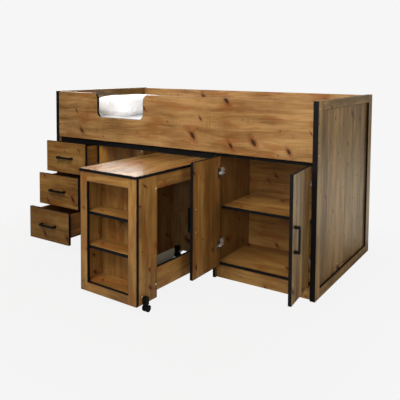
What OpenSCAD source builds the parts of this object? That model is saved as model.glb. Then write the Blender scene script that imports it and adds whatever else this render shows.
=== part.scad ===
// Cabin bed with a chest of drawers, a cupboard and a desk that rolls out from under it.
// Millimetres. X runs from the left end to the right end, Y from front to back, Z up.
// The origin is the front left corner of the left end panel, at floor level.

/* [Bed frame] */
// Length over the end panels
bed_l = 2000; // [1960:1:2060]
// Width over the two guards
bed_w = 1015; // [1000:1:1060]
// Height of the end panels
bed_h = 1090; // [1070:1:1200]
// Thickness of the end panels' frames
end_t = 30; // [26:1:36]
// Width of the front stile of an end panel
front_stile = 67; // [50:1:90]
// Width of the back stile of an end panel
back_stile = 72; // [50:1:90]
// Height of the top rail of an end panel
end_top_rail = 50; // [35:1:80]
// Height of the bottom rail of an end panel
end_low_rail = 53; // [35:1:80]
// Thickness of the planked field, flush with the inner face
field_t = 18; // [12:1:22]
// Distance between the field's plank grooves
plank_pitch = 158; // [120:1:180]
// Width of a plank groove at the face
groove_w = 5; // [3:0.5:8]
// Depth of a plank groove
groove_d = 3; // [2:0.5:4]
// Thickness of the boards inside the furniture
board_t = 18; // [15:1:20]
// Thickness of the black edge strips
band_t = 1.5; // [0.8:0.1:3]

/* [Guards and rail] */
// Thickness of the guards
guard_t = 18; // [15:1:19]
// How far the guards stop below the top of the end panels
guard_drop = 5; // [0:1:20]
// Height of the front guard's bottom edge
guard_z = 760; // [758:1:790]
// How far the rear guard reaches below the front one
rear_reach = 60; // [0:1:200]
// Gap between the rear guard and the stretcher below it
stretcher_gap = 10; // [2:1:40]
// Height of the rear stretcher
stretcher_h = 250; // [150:1:300]
// Start of the guard's cut-out, from the left end
cut_x = 407; // [300:1:600]
// Width of the cut-out between its upright sides
cut_w = 403; // [250:1:600]
// Height of the cut-out's bottom edge above the guard's bottom edge
cut_up = 160; // [120:1:220]
// Radius of the cut-out's bottom corners
cut_corner_r = 38; // [10:1:60]
// Radius of the rounded shoulders at the guard's top edge
cut_lip_r = 43; // [10:1:60]
// Height of the black front rail
rail_h = 44; // [40:1:50]
// How far the rail and the carcasses stand behind the guard's front face
front_set = 20; // [20:1:30]
// Width of the slat ledges
ledge_w = 20; // [15:1:40]
// Height of the slat ledges
ledge_h = 30; // [15:1:34]

/* [Bedding] */
// Height of the slats' underside, level with the carcass tops
support_z = 754; // [750:1:758]
// Thickness of the slats
slat_t = 18; // [12:1:25]
// Width of one slat
slat_w = 70; // [50:1:90]
// Number of slats
slat_count = 14; // [10:1:18]
// Distance from an end panel to the first slat
slat_margin = 30; // [10:1:60]
// Space between each end of the mattress and the end panel
mattress_end_gap = 20; // [18:1:30]
// Space between the mattress and the front guard
mattress_front_gap = 49.5; // [5:0.5:60]
// Space between the mattress and the rear guard
mattress_back_gap = 29.5; // [5:0.5:40]
// Thickness of the mattress at its crown
mattress_t = 140; // [100:1:150]
// Length of the pillow, across the bed
pillow_l = 750; // [600:1:850]
// Width of the pillow, along the bed
pillow_w = 490; // [400:1:550]
// Thickness of the pillow at its crown
pillow_t = 137; // [90:1:160]
// Space between the pillow and the left end panel
pillow_gap = 25; // [22:1:80]

/* [Chest] */
// Width of the chest, from the left end panel to its right face
chest_w = 375; // [330:1:420]
// Depth of the chest behind its front edge
chest_d = 482; // [470:1:520]
// Height of the cupboard's plinth and of the undersides of both bottom decks
plinth_h = 78; // [50:1:90]
// Gap between two drawer fronts
front_gap = 5; // [3:0.5:8]
// Height of the lowest drawer front above the underside of the bottom deck
drawer_lift = 10; // [4:1:30]
// Height of the top edge of the drawer fronts and doors
fronts_top = 742; // [730:1:750]
// Thickness of the drawer fronts and doors
front_t = 18; // [15:1:19]
// Side gap between a front and the end panel beside it
side_gap = 3; // [2:0.5:6]
// How far a drawer front reaches past the chest's right face
front_over = 5; // [0:1:10]
// Thickness of the drawer box boards
box_t = 12; // [9:1:16]
// Height of the drawer box
box_h = 155; // [100:1:160]
// Depth of the drawer box behind the front
box_d = 450; // [400:1:455]
// Height of the box's underside above the bottom of its front
box_lift = 35; // [25:1:40]
// Thickness of the thin backs and drawer bottoms
thin_t = 3; // [3:0.5:6]
// Height of a drawer runner
runner_h = 35; // [20:1:45]
// Width of a drawer runner
runner_w = 12.4; // [10:0.1:14]
// How far the top drawer stands open
open_top = 119; // [0:1:300]
// How far the middle drawer stands open
open_middle = 189; // [0:1:300]
// How far the bottom drawer stands open
open_bottom = 274; // [0:1:300]

/* [Cupboard] */
// Width of the cupboard's opening between its sides
cupboard_w = 600; // [540:1:640]
// Depth of the cupboard's left side
cupboard_d = 433; // [400:1:480]
// Height of the shelf's top
shelf_z = 426; // [300:1:500]
// How far the shelf's front edge stands behind the guard's front face
shelf_set = 70; // [60:1:120]
// Height of the doors' bottom edge above the plinth
door_lift = 2; // [1:1:16]
// Gap between a closed door and the side beside it
door_gap = 2; // [1.5:0.5:4]
// Gap between the two closed doors
door_middle = 3; // [2:0.5:5]
// Number of planks in a door
door_planks = 5; // [3:1:7]
// Angle at which the left door stands open
open_left = 90; // [0:1:95]
// Angle at which the right door stands open
open_right = 95; // [0:1:95]
// Height of the lower hinge above the floor
hinge_low = 202; // [130:1:260]
// Height of the upper hinge above the floor
hinge_high = 641; // [560:1:700]
// Radius of a hinge cup
cup_r = 17.5; // [15:0.5:20]
// Depth of a hinge cup
cup_d = 11; // [9:0.5:13]
// Distance from the door's edge to the middle of a hinge cup
cup_in = 22; // [20:0.5:24]

/* [Handles] */
// Length of a handle
pull_l = 140; // [100:1:200]
// How far a handle stands out
pull_out = 31; // [20:1:40]
// Depth of a handle's bar
pull_t = 8.5; // [5:0.5:10]
// Width of a handle's bar and legs, across the handle
pull_w = 14; // [8:0.5:16]
// Width of a handle's leg, along the handle
pull_leg = 14; // [8:0.5:16]
// Radius of a handle's outer corners
pull_bend = 5; // [2:0.5:8]
// Height of a door handle's middle above the floor
door_pull_z = 412; // [300:1:600]
// Distance from a door's free edge to its handle
door_pull_in = 31; // [20:1:80]

/* [Desk] */
// Width of the desk over its sides
desk_w = 410; // [380:1:420]
// Depth of the desk from its face frame to its rear panel
desk_d = 823; // [700:1:850]
// Height of the desktop
desk_h = 713; // [650:1:715]
// Thickness of the desktop
desktop_t = 15; // [12:1:18]
// Overhang of the desktop at the sides
top_over = 4; // [0:1:8]
// Overhang of the desktop at the front and rear
top_over_y = 5; // [0:1:10]
// Thickness of the desk's boards
desk_t = 16; // [12:1:18]
// Height of the bookcase's underside above the floor
desk_low = 37; // [37:1:60]
// Height of the underside of the long panels above the floor
panel_low = 50; // [44:1:70]
// Thickness of the face frame
face_t = 18; // [15:1:22]
// Width of the face frame's left stile
face_left = 52; // [30:1:80]
// Width of the face frame's right stile
face_right = 58; // [30:1:80]
// Height of the face frame's top rail
face_top = 53; // [30:1:80]
// Height of the face frame's bottom rail
face_low = 50; // [30:1:80]
// Depth of the bookcase, face frame included
case_d = 162; // [140:1:220]
// Height of the lower shelf's top
desk_shelf_1 = 290; // [200:1:330]
// Height of the upper shelf's top
desk_shelf_2 = 478; // [420:1:560]
// Height of the upper side rail
side_rail_top = 75; // [40:1:120]
// Height of the lower side rail
side_rail_low = 125; // [60:1:160]
// Height of the lower side rail's underside above the floor
side_rail_z = 77; // [60:1:100]
// Distance along the bed from the desk's front left corner to the cupboard
desk_inset = 465.5; // [452:0.5:482]
// How far the desk's front left corner stands out
desk_y = 634; // [0:1:640]
// Angle by which the desk stands turned, clockwise from above
desk_turn = 2.17; // [0:0.01:2.5]

/* [Castors] */
// Radius of the castor wheels
wheel_r = 17; // [14:0.5:17]
// Width of one wheel
wheel_w = 13; // [9:0.5:13]
// Distance from the swivel axis back to the axle
castor_trail = 5; // [3:0.5:6]
// Thickness of the castor's hood
hood_t = 1.5; // [1:0.1:1.6]
// Thickness of the web between the wheels
web_t = 5; // [4:0.5:7]
// Radius of the axle
axle_r = 3; // [2:0.5:4]
// Radius of the swivel stem
stem_r = 4; // [3:0.5:5]
// Height of the castor bracket
bracket_h = 40; // [30:1:50]
// Width of the castor bracket
bracket_w = 24; // [18:1:30]
// Distance from the panel to the swivel axis
bracket_out = 14; // [12:0.5:15]

/* [Hidden] */
$fn = 48;

oak = "#9a6b3f";
oak_dark = "#7d5632";
black = "#1c1b1a";
steel = "#b9bbbe";
cloth = "#f2f1ee";

// clearances
hairline = 0.2;          // between butted boards of one piece of furniture
soft_gap = 0.3;          // under the mattress and the pillow
run_gap = 0.3;           // beside a drawer runner
pin_gap = 0.1;           // round a pin, an axle or a stem
shelf_gap = 0.5;         // at each end of a loose shelf
back_gap = 1;            // behind a drawer box
eps = 1;                 // how far a cutter reaches past a face

// the end panels
end_in = end_t;                          // inner face of the left end panel
right_in = bed_l - end_t;                // inner face of the right end panel
field_h = bed_h - end_top_rail - end_low_rail;
field_y0 = front_stile;
field_y1 = bed_w - back_stile;
field_mid = (field_y0 + field_y1) / 2;
groove_reach = floor((field_y1 - field_y0) / 2 / plank_pitch - 0.1);

// guards, rail and ledges
guard_top = bed_h - guard_drop;
span = right_in - end_in;
rail_z = guard_z - 40;
rail_y1 = front_set + board_t;
rear_in = bed_w - guard_t;               // inner face of the rear guard
cut_z = guard_z + cut_up;

// bedding
slat_y0 = rail_y1 + hairline;
slat_y1 = rear_in - hairline;
slat_x0 = end_in + slat_margin;
slat_pitch = (span - 2 * slat_margin - slat_w) / (slat_count - 1);
mattress_z = support_z + slat_t + soft_gap;
mattress_l = span - 2 * mattress_end_gap;
mattress_x = end_in + mattress_end_gap;
mattress_y = guard_t + mattress_front_gap;
mattress_w = rear_in - mattress_back_gap - mattress_y;
mattress_top = mattress_z + mattress_t;
pillow_z = mattress_top + soft_gap;

// carcasses
carcass_y = front_set + band_t;          // front edge of the boards behind their strips
side_h = support_z - board_t;            // height of the upright sides, under their tops
deck_z = plinth_h;                       // underside of the bottom decks
deck_top = plinth_h + board_t;
chest_x1 = end_in + chest_w;
chest_in = chest_x1 - board_t;           // inner face of the chest's side
chest_y1 = front_set + chest_d;
cup_x0 = right_in - cupboard_w;          // inner face of the cupboard's left side
cup_side_x = cup_x0 - board_t;
cup_back_y = cupboard_d - thin_t;
pin_r = 2.5;
pin_out = 8;
pin_inset = 40;

// drawers
drawer_x0 = end_in + side_gap;
drawer_w = chest_x1 + front_over - drawer_x0;
drawer_z0 = plinth_h + drawer_lift;
drawer_count = 3;
front_h = (fronts_top - drawer_z0 - (drawer_count - 1) * front_gap) / drawer_count;
box_x0 = end_in + runner_w + run_gap;
box_x1 = chest_in - runner_w - run_gap;
box_y1 = min(front_t + box_d, chest_y1 - thin_t - back_gap);
runner_up = 2;                           // underside of a runner above the box's underside
groove_up = 10;                          // height of a drawer's base above the box's underside
base_in = 4;                             // how far the base reaches into the sides

// doors, drawn closed and then swung about their pivot
door_w = (cupboard_w - 2 * door_gap - door_middle) / 2;
door_z = plinth_h + door_lift;
door_h = fronts_top - door_z;
door_inner = door_w - 2 * band_t;
pivot_in = 9.5;                          // pivot line, from the side's inner face
pivot_back = 0.5;                        // and behind the closed door's outer face
left_pivot = [cup_x0 + pivot_in, pivot_back];
right_pivot = [right_in - pivot_in, pivot_back];

// hinge, drawn for the left door standing at 90 degrees, from the side's inner face
cup_wall = 2;
cup_flange_t = 1.6;
cup_flange_w = 24;
cup_flange_h = 62;
arm_pin_x = 12;                          // pin that the link swings on
arm_pin_y = 29;
arm_pin_r = 2;
link_eye_r = 5;
link_t = 5;
link_h = 13;
open_face = pivot_in - pivot_back;       // outer face of the open door
open_inner = open_face + front_t;        // inner face of the open door
open_end = pivot_in - door_gap + pivot_back;
link_clear = 6;                          // link's distance from the open door's inner face
link_dip = 3;                            // how far the link's tip reaches into the cup
cup_centre = open_end - cup_in;
cup_pocket = cup_r - cup_wall;
tip_reach = sqrt(cup_pocket * cup_pocket - link_h * link_h / 4);
tip_y1 = cup_centre + tip_reach - 0.6;
plate_t = 6;
plate_h = 45;
plate_y0 = 34;
plate_d = 50;
cheek_t = 6;

// desk, in its own frame with its front left corner at the origin
desk_x = cup_side_x - desk_inset;        // place of that corner along the bed
top_under = desk_h - desktop_t;
frame_h = top_under - desk_low;
open_w = desk_w - face_left - face_right;
open_z = desk_low + face_low;
open_h = top_under - face_top - open_z;
desk_in_r = desk_w - desk_t;
desk_back_y = case_d - desk_t;
panel_y1 = desk_d - desk_t;
panel_h = top_under - panel_low;
panel_l = panel_y1 - case_d;

// castors
hood_r0 = wheel_r + 0.4;
hood_r = hood_r0 + hood_t;
wheel_in = web_t / 2 + 0.3;
castor_half = wheel_in + wheel_w;
hood_cut = 3;                            // height above the axle down to which the hood reaches
web_in = 4;                              // how far the web's disc stays inside the wheels' rim
bracket_z = wheel_r + hood_r + 3;
stem_top = bracket_z + bracket_h - 8;
bracket_deep = bracket_out + bracket_w / 2;
castor_side_y = 56;                      // front castor, from the desk's front
castor_back_y = 30;                      // other front castor, behind the bookcase
castor_rear_x = 44;                      // rear castors, in from the panels
front_right_at = [desk_w + bracket_out, castor_side_y];
front_left_at = [desk_t + bracket_out, case_d + castor_back_y];
rear_left_at = [desk_t + castor_rear_x, panel_y1 - bracket_out];
rear_right_at = [desk_in_r - castor_rear_x, panel_y1 - bracket_out];

// ---- shared shapes ----

module block(x0, x1, y0, y1, z0, z1) {
    translate([x0, y0, z0])
        cube([x1 - x0, y1 - y0, z1 - z0]);
}

// upright V grooves in a face that looks along -Y, at y = 0
module grooves_y(xs, z0, z1) {
    for (x = xs)
        translate([x, 0, z0])
            linear_extrude(z1 - z0)
                polygon([[-groove_w / 2, -0.01], [groove_w / 2, -0.01], [0, groove_d]]);
}

// a closed skin over rings of points, with a centre point at each end
module skin(rings, low, high) {
    n = len(rings[0]);
    m = len(rings);
    points = concat([low], [for (r = rings) for (p = r) p], [high]);
    side = [for (j = [0:m - 2]) for (i = [0:n - 1])
        let (a = 1 + j * n + i, b = 1 + j * n + (i + 1) % n)
        each [[a, a + n, b], [b, a + n, b + n]]];
    base = [for (i = [0:n - 1]) [0, 1 + i, 1 + (i + 1) % n]];
    lid = [for (i = [0:n - 1]) [m * n + 1, 1 + (m - 1) * n + (i + 1) % n, 1 + (m - 1) * n + i]];
    polyhedron(points, concat(base, side, lid));
}

// a rectangle with rounded corners as a ring of points, drawn in by d
function round_ring(l, w, r, d, z, k = 6) =
    [for (c = [0:3]) for (i = [0:k])
        let (a = 90 * c + 90 * i / k,
             rr = max(r - d, 1),
             sx = (c == 0 || c == 3) ? 1 : -1,
             sy = (c < 2) ? 1 : -1)
        [sx * (l / 2 - d - rr) + rr * cos(a), sy * (w / 2 - d - rr) + rr * sin(a), z]];

// a pillow's outline: full sides, drawn-in edges and pointed corners, shrunk to s
function pillow_ring(l, w, s, z, n = 44) =
    [for (i = [0:n - 1])
        let (a = 360 * i / n, c = cos(a), d = sin(a),
             fill = 1 / pow(pow(abs(c), 7) + pow(abs(d), 7), 1 / 7),
             pinch = 1 - 0.05 * s * s * pow(cos(2 * a), 2))
        [l / 2 * s * c * fill * pinch, w / 2 * s * d * fill * pinch, z]];

// a rectangle from y = -out to y = 0 with its two front corners rounded by r
module pull_outline(l, out, r) {
    translate([-l / 2, -out + r])
        square([l, out - r]);
    translate([-l / 2 + r, -out])
        square([l - 2 * r, out]);
    for (side = [-1, 1])
        translate([side * (l / 2 - r), -out + r])
            circle(r = r);
}

// a pull that lies along X, its feet on the plane y = 0 and its bar in front of it
module bar_handle() {
    linear_extrude(pull_w, center = true)
        difference() {
            pull_outline(pull_l, pull_out, pull_bend);
            translate([0, eps])
                pull_outline(pull_l - 2 * pull_leg, pull_out - pull_t + eps, pull_bend / 2);
        }
}

// ---- end panels ----

module end_frame(x) {
    z1 = bed_h - end_top_rail;
    block(x, x + end_t, band_t, front_stile, 0, bed_h);
    block(x, x + end_t, bed_w - back_stile, bed_w, 0, bed_h);
    block(x, x + end_t, field_y0 + hairline, field_y1 - hairline, z1, bed_h);
    block(x, x + end_t, field_y0 + hairline, field_y1 - hairline, 0, end_low_rail);
}

module end_frames() {
    color(oak) {
        end_frame(0);
        end_frame(right_in);
    }
}

// one planked field, its grooved face looking along -X from x = 0
module end_field() {
    difference() {
        block(0, field_t, field_y0, field_y1, end_low_rail, bed_h - end_top_rail);
        for (k = [-groove_reach:groove_reach])
            translate([0, field_mid + k * plank_pitch, end_low_rail - eps])
                linear_extrude(field_h + 2 * eps)
                    polygon([[-0.01, -groove_w / 2], [groove_d, 0], [-0.01, groove_w / 2]]);
    }
}

module end_fields() {
    color(oak) {
        translate([end_t - field_t, 0, 0])
            end_field();
        translate([right_in + field_t, 0, 0])
            mirror([1, 0, 0])
                end_field();
    }
}

// ---- guards, rail, ledges, slats ----

// the cut-out's outline, drawn in by d
module cutout(d) {
    x0 = cut_x + d;
    x1 = cut_x + cut_w - d;
    z0 = cut_z + d;
    r = max(cut_corner_r - d, 1);
    lip = cut_lip_r + d;
    translate([x0, z0 + r])
        square([x1 - x0, guard_top - z0 - r + eps]);
    translate([x0 + r, z0])
        square([x1 - x0 - 2 * r, guard_top - z0 + eps]);
    for (x = [x0 + r, x1 - r])
        translate([x, z0 + r])
            circle(r = r);
    difference() {
        translate([x0 - lip, guard_top - cut_lip_r])
            square([x1 - x0 + 2 * lip, cut_lip_r + eps]);
        for (x = [x0 - lip, x1 + lip])
            translate([x, guard_top - cut_lip_r])
                circle(r = lip);
    }
}

module guard_front() {
    color(oak)
        difference() {
            block(end_in, right_in, 0, guard_t, guard_z, guard_top);
            translate([0, guard_t + eps, 0])
                rotate([90, 0, 0])
                    linear_extrude(guard_t + 2 * eps)
                        cutout(0);
        }
}

module rear_boards() {
    z0 = guard_z - rear_reach;
    z1 = z0 - stretcher_gap;
    color(oak) {
        block(end_in, right_in, rear_in, bed_w, z0, guard_top);
        block(end_in, right_in, rear_in, bed_w, z1 - stretcher_h, z1);
    }
}

module rail_front() {
    color(black)
        block(end_in, cup_side_x, front_set, rail_y1, rail_z, rail_z + rail_h);
}

module slat_ledges() {
    color(oak_dark) {
        block(end_in, cup_side_x, rail_y1, rail_y1 + ledge_w, support_z - ledge_h, support_z);
        block(end_in, right_in, rear_in - ledge_w, rear_in, support_z - ledge_h, support_z);
    }
}

module slats() {
    color(oak)
        for (i = [0:slat_count - 1])
            translate([slat_x0 + i * slat_pitch, slat_y0, support_z])
                cube([slat_w, slat_y1 - slat_y0, slat_t]);
}

// ---- bedding ----

module mattress() {
    r = 70;
    h = mattress_t;
    crown = 12;
    // [draw-in, height]: flat underside, bound edge, waist, bound edge, crown
    profile = [[80, 0], [16, 1], [4, 8], [0, 16], [4, 26], [7, h / 2], [4, h - crown - 26],
               [0, h - crown - 16], [4, h - crown - 7], [16, h - crown], [80, h - 4], [180, h]];
    color(cloth)
        translate([mattress_x + mattress_l / 2, mattress_y + mattress_w / 2, mattress_z])
            skin([for (p = profile) round_ring(mattress_l, mattress_w, r, p[0], p[1])],
                 [0, 0, 0], [0, 0, h]);
}

module pillow() {
    // [share of the outline, share of the height]
    profile = [[0.72, 0], [0.88, 0.05], [0.96, 0.15], [1, 0.30], [0.97, 0.46], [0.9, 0.62],
               [0.8, 0.76], [0.66, 0.88], [0.48, 0.96], [0.26, 0.995]];
    color(cloth)
        translate([end_in + pillow_gap + pillow_w / 2, mattress_y + mattress_w / 2, pillow_z])
            skin([for (p = profile) pillow_ring(pillow_w, pillow_l, p[0], p[1] * pillow_t)],
                 [0, 0, 0], [0, 0, pillow_t]);
}

// ---- chest ----

module chest_side() {
    color(oak)
        difference() {
            block(chest_in, chest_x1, carcass_y, chest_y1, 0, side_h);
            // notch under the front rail and ledge
            block(chest_in - eps, chest_x1 + eps, 0, rail_y1 + ledge_w + hairline,
                  min(rail_z, support_z - ledge_h) - hairline, side_h + eps);
        }
}

module chest_decks() {
    color(oak_dark) {
        block(end_in, chest_x1, rail_y1 + ledge_w + hairline, chest_y1, side_h, support_z);
        block(end_in, chest_in, carcass_y, chest_y1 - thin_t, deck_z, deck_top);
    }
}

module chest_back() {
    color(oak_dark)
        block(end_in, chest_in, chest_y1 - thin_t, chest_y1, deck_z, side_h);
}

module drawer_runners() {
    color(steel)
        for (i = [0:drawer_count - 1]) {
            z0 = drawer_base(i) + box_lift + runner_up;
            block(end_in, end_in + runner_w, carcass_y, box_y1, z0, z0 + runner_h);
            block(chest_in - runner_w, chest_in, carcass_y, box_y1, z0, z0 + runner_h);
        }
}

// underside of the front of drawer i, counted from the bottom
function drawer_base(i) = drawer_z0 + i * (front_h + front_gap);

module drawer_front(i) {
    z0 = drawer_base(i);
    color(oak)
        block(drawer_x0 + band_t, drawer_x0 + drawer_w - band_t, 0, front_t,
              z0 + band_t, z0 + front_h - band_t);
}

// black strips round the four edges of a front that lies in the plane y = 0
module edge_frame(x0, x1, z0, z1, t) {
    color(black)
        difference() {
            block(x0, x1, 0, t, z0, z1);
            block(x0 + band_t, x1 - band_t, -eps, t + eps, z0 + band_t, z1 - band_t);
        }
}

module drawer_edges(i) {
    z0 = drawer_base(i);
    edge_frame(drawer_x0, drawer_x0 + drawer_w, z0, z0 + front_h, front_t);
}

module drawer_box(i) {
    z0 = drawer_base(i) + box_lift;
    x0 = box_x0 + box_t - base_in;
    x1 = box_x1 - box_t + base_in;
    color(oak_dark) {
        // two sides, each grooved for the base
        difference() {
            union() {
                block(box_x0, box_x0 + box_t, front_t, box_y1, z0, z0 + box_h);
                block(box_x1 - box_t, box_x1, front_t, box_y1, z0, z0 + box_h);
            }
            block(x0 - hairline, x1 + hairline, front_t - eps, box_y1 + eps,
                  z0 + groove_up - hairline, z0 + groove_up + thin_t + hairline);
        }
        // back, over the base
        block(box_x0 + box_t + hairline, box_x1 - box_t - hairline, box_y1 - box_t, box_y1,
              z0 + groove_up + thin_t + hairline, z0 + box_h);
        // base
        block(x0, x1, front_t, box_y1 - hairline, z0 + groove_up, z0 + groove_up + thin_t);
    }
}

module drawer_handle(i) {
    color(black)
        translate([drawer_x0 + drawer_w / 2, 0, drawer_base(i) + front_h / 2])
            bar_handle();
}

// ---- cupboard ----

module cupboard_side() {
    color(oak)
        block(cup_side_x, cup_x0, band_t, cupboard_d, 0, side_h);
}

module cupboard_plinth() {
    color(oak)
        block(cup_x0, right_in, front_set, front_set + board_t, 0, plinth_h);
}

module cupboard_decks() {
    color(oak) {
        block(cup_side_x, right_in, carcass_y, cupboard_d, side_h, support_z);
        block(cup_x0, right_in, carcass_y, cup_back_y, deck_z, deck_top);
    }
}

module cupboard_back() {
    color(oak)
        block(cup_x0, right_in, cup_back_y, cupboard_d, deck_z, side_h);
}

module cupboard_shelf() {
    color(oak)
        block(cup_x0 + shelf_gap, right_in - shelf_gap, shelf_set + band_t, cup_back_y - shelf_gap,
              shelf_z - board_t, shelf_z);
}

module shelf_pins() {
    color(steel)
        for (y = [shelf_set + pin_inset, cup_back_y - pin_inset]) {
            translate([cup_x0, y, shelf_z - board_t - pin_r])
                rotate([0, 90, 0])
                    cylinder(r = pin_r, h = pin_out);
            translate([right_in - pin_out, y, shelf_z - board_t - pin_r])
                rotate([0, 90, 0])
                    cylinder(r = pin_r, h = pin_out);
        }
}

// one hinge's fixed half: plate, two cheeks and the pin, from the side's inner face at x = 0
module hinge_plate() {
    block(0, plate_t, plate_y0, plate_y0 + plate_d, -plate_h / 2, plate_h / 2);
    for (s = [-1, 1])
        translate([0, 0, s * (link_h / 2 + hairline + cheek_t / 2)])
            block(0, arm_pin_x + link_eye_r, arm_pin_y - link_eye_r, plate_y0 + plate_d - 8,
                  -cheek_t / 2, cheek_t / 2);
    translate([arm_pin_x, arm_pin_y, -link_h / 2 - hairline])
        cylinder(r = arm_pin_r, h = link_h + 2 * hairline);
}

// one hinge's link, at the place it has when the left door stands at 90 degrees
module hinge_link() {
    bar_x0 = open_inner + link_clear;
    bar_x1 = bar_x0 + link_t;
    turn_y = 12;
    translate([0, 0, -link_h / 2])
        linear_extrude(link_h)
            difference() {
                union() {
                    translate([arm_pin_x, arm_pin_y])
                        circle(r = link_eye_r);
                    polygon([[arm_pin_x - link_t / 2, arm_pin_y - link_eye_r + 1],
                             [bar_x0, turn_y - link_t / 2], [bar_x1, turn_y - link_t / 2],
                             [bar_x1, turn_y + link_t / 2],
                             [arm_pin_x + link_t / 2, arm_pin_y + link_eye_r - 1]]);
                    translate([bar_x0, tip_y1 - link_t])
                        square([link_t, turn_y + link_t / 2 - tip_y1 + link_t]);
                    translate([open_inner - link_dip, tip_y1 - link_t])
                        square([link_clear + link_dip + link_t, link_t]);
                }
                translate([arm_pin_x, arm_pin_y])
                    circle(r = arm_pin_r + pin_gap);
            }
}

module hinge_plates() {
    color(steel)
        for (z = [hinge_low, hinge_high]) {
            translate([cup_x0, 0, z])
                hinge_plate();
            translate([right_in, 0, z])
                mirror([1, 0, 0])
                    hinge_plate();
        }
}

// swings a child about the upright line at p by angle a
module swing(p, a) {
    translate([p[0], p[1], 0])
        rotate([0, 0, a])
            translate([-p[0], -p[1], 0])
                children();
}

// places a child that is drawn as the closed left door, from the side's inner face
module left_door() {
    swing(left_pivot, -open_left)
        translate([cup_x0 + door_gap, 0, 0])
            children();
}

module right_door() {
    swing(right_pivot, open_right)
        translate([right_in - door_gap, 0, 0])
            mirror([1, 0, 0])
                children();
}

module door_panel() {
    plank = door_inner / door_planks;
    color(oak)
        difference() {
            block(band_t, door_w - band_t, 0, front_t, door_z + band_t, door_z + door_h - band_t);
            grooves_y([for (i = [1:door_planks - 1]) band_t + i * plank], door_z, door_z + door_h);
            for (z = [hinge_low, hinge_high])
                translate([cup_in, front_t - cup_d, z])
                    rotate([-90, 0, 0])
                        cylinder(r = cup_r + 0.05, h = cup_d + eps);
        }
}

module door_cups() {
    color(steel)
        for (z = [hinge_low, hinge_high])
            translate([cup_in, front_t, z])
                rotate([-90, 0, 0])
                    difference() {
                        union() {
                            translate([0, 0, -cup_d + 0.1])
                                cylinder(r = cup_r, h = cup_d);
                            translate([-cup_flange_w / 2, -cup_flange_h / 2, 0])
                                cube([cup_flange_w, cup_flange_h, cup_flange_t]);
                        }
                        translate([0, 0, -cup_d + 1.5])
                            cylinder(r = cup_pocket, h = cup_d + cup_flange_t);
                    }
}

module door_handle() {
    color(black)
        translate([door_w - door_pull_in, 0, door_pull_z])
            rotate([0, 90, 0])
                bar_handle();
}

module door_left_panel() { left_door() door_panel(); }
module door_left_edges() { left_door() edge_frame(0, door_w, door_z, door_z + door_h, front_t); }
module door_left_cups() { left_door() door_cups(); }
module door_left_handle() { left_door() door_handle(); }
module door_right_panel() { right_door() door_panel(); }
module door_right_edges() { right_door() edge_frame(0, door_w, door_z, door_z + door_h, front_t); }
module door_right_cups() { right_door() door_cups(); }
module door_right_handle() { right_door() door_handle(); }

// a link turns with its door, about the pin on its plate
module hinge_links_left() {
    color(steel)
        for (z = [hinge_low, hinge_high])
            swing([cup_x0 + arm_pin_x, arm_pin_y], 90 - open_left)
                translate([cup_x0, 0, z])
                    hinge_link();
}

module hinge_links_right() {
    color(steel)
        for (z = [hinge_low, hinge_high])
            swing([right_in - arm_pin_x, arm_pin_y], open_right - 90)
                translate([right_in, 0, z])
                    mirror([1, 0, 0])
                        hinge_link();
}

// black strips that line an end frame's opening, from its face down to the planked field
module field_strip(x0, x1) {
    z0 = end_low_rail;
    z1 = bed_h - end_top_rail;
    difference() {
        block(x0, x1, field_y0, field_y1, z0, z1);
        block(x0 - eps, x1 + eps, field_y0 + band_t, field_y1 - band_t, z0 + band_t, z1 - band_t);
    }
}

// black strips on the edges that belong to the bed, the chest and the cupboard
module edge_bands() {
    rail_low = min(rail_z, support_z - ledge_h) - hairline;
    color(black) {
        block(0, end_t, 0, band_t, 0, bed_h);
        block(right_in, bed_l, 0, band_t, 0, bed_h);
        block(chest_in, chest_x1, front_set, carcass_y, 0, rail_low);
        block(end_in, chest_in, front_set, carcass_y, deck_z, deck_top);
        block(cup_side_x, cup_x0, 0, band_t, 0, side_h);
        block(cup_side_x, right_in, front_set, carcass_y, side_h, support_z);
        block(cup_x0, right_in, front_set, carcass_y, deck_z, deck_top);
        block(cup_x0 + shelf_gap, right_in - shelf_gap, shelf_set, shelf_set + band_t,
              shelf_z - board_t, shelf_z);
        field_strip(0, end_t - field_t);
        field_strip(right_in + field_t, bed_l);
        // strip that lines the guard's cut-out
        translate([0, guard_t, 0])
            rotate([90, 0, 0])
                linear_extrude(guard_t)
                    intersection() {
                        difference() {
                            cutout(0);
                            cutout(band_t);
                        }
                        translate([end_in, guard_z])
                            square([span, guard_top - guard_z]);
                    }
    }
}

// ---- desk ----

// places a child that is drawn in the desk's own frame
module at_desk() {
    translate([desk_x, -desk_y, 0])
        rotate([0, 0, -desk_turn])
            children();
}

module desk_top() {
    color(oak)
        at_desk()
            block(-top_over + band_t, desk_w + top_over - band_t, -top_over_y + band_t,
                  desk_d + top_over_y - band_t, top_under, desk_h);
}

module desk_face_frame() {
    color(oak)
        at_desk() {
            block(band_t, face_left - band_t, 0, face_t, desk_low, top_under);
            block(desk_w - face_right + band_t, desk_w - band_t, 0, face_t, desk_low, top_under);
            block(face_left - band_t + hairline, desk_w - face_right + band_t - hairline, 0, face_t,
                  desk_low, open_z - band_t);
            block(face_left - band_t + hairline, desk_w - face_right + band_t - hairline, 0, face_t,
                  open_z + open_h + band_t, top_under);
        }
}

module desk_sides() {
    color(oak)
        at_desk() {
            // bookcase sides
            block(0, desk_t, face_t, case_d - hairline, desk_low, top_under);
            block(desk_in_r, desk_w, face_t, case_d - hairline, desk_low, top_under);
            // long panel on the left
            block(0, desk_t, case_d, panel_y1 + desk_t, panel_low, top_under);
        }
}

module desk_shelves() {
    color(oak_dark)
        at_desk()
            for (z = [open_z, desk_shelf_1, desk_shelf_2])
                block(desk_t, desk_in_r, face_t + band_t, desk_back_y, z - desk_t, z);
}

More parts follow.
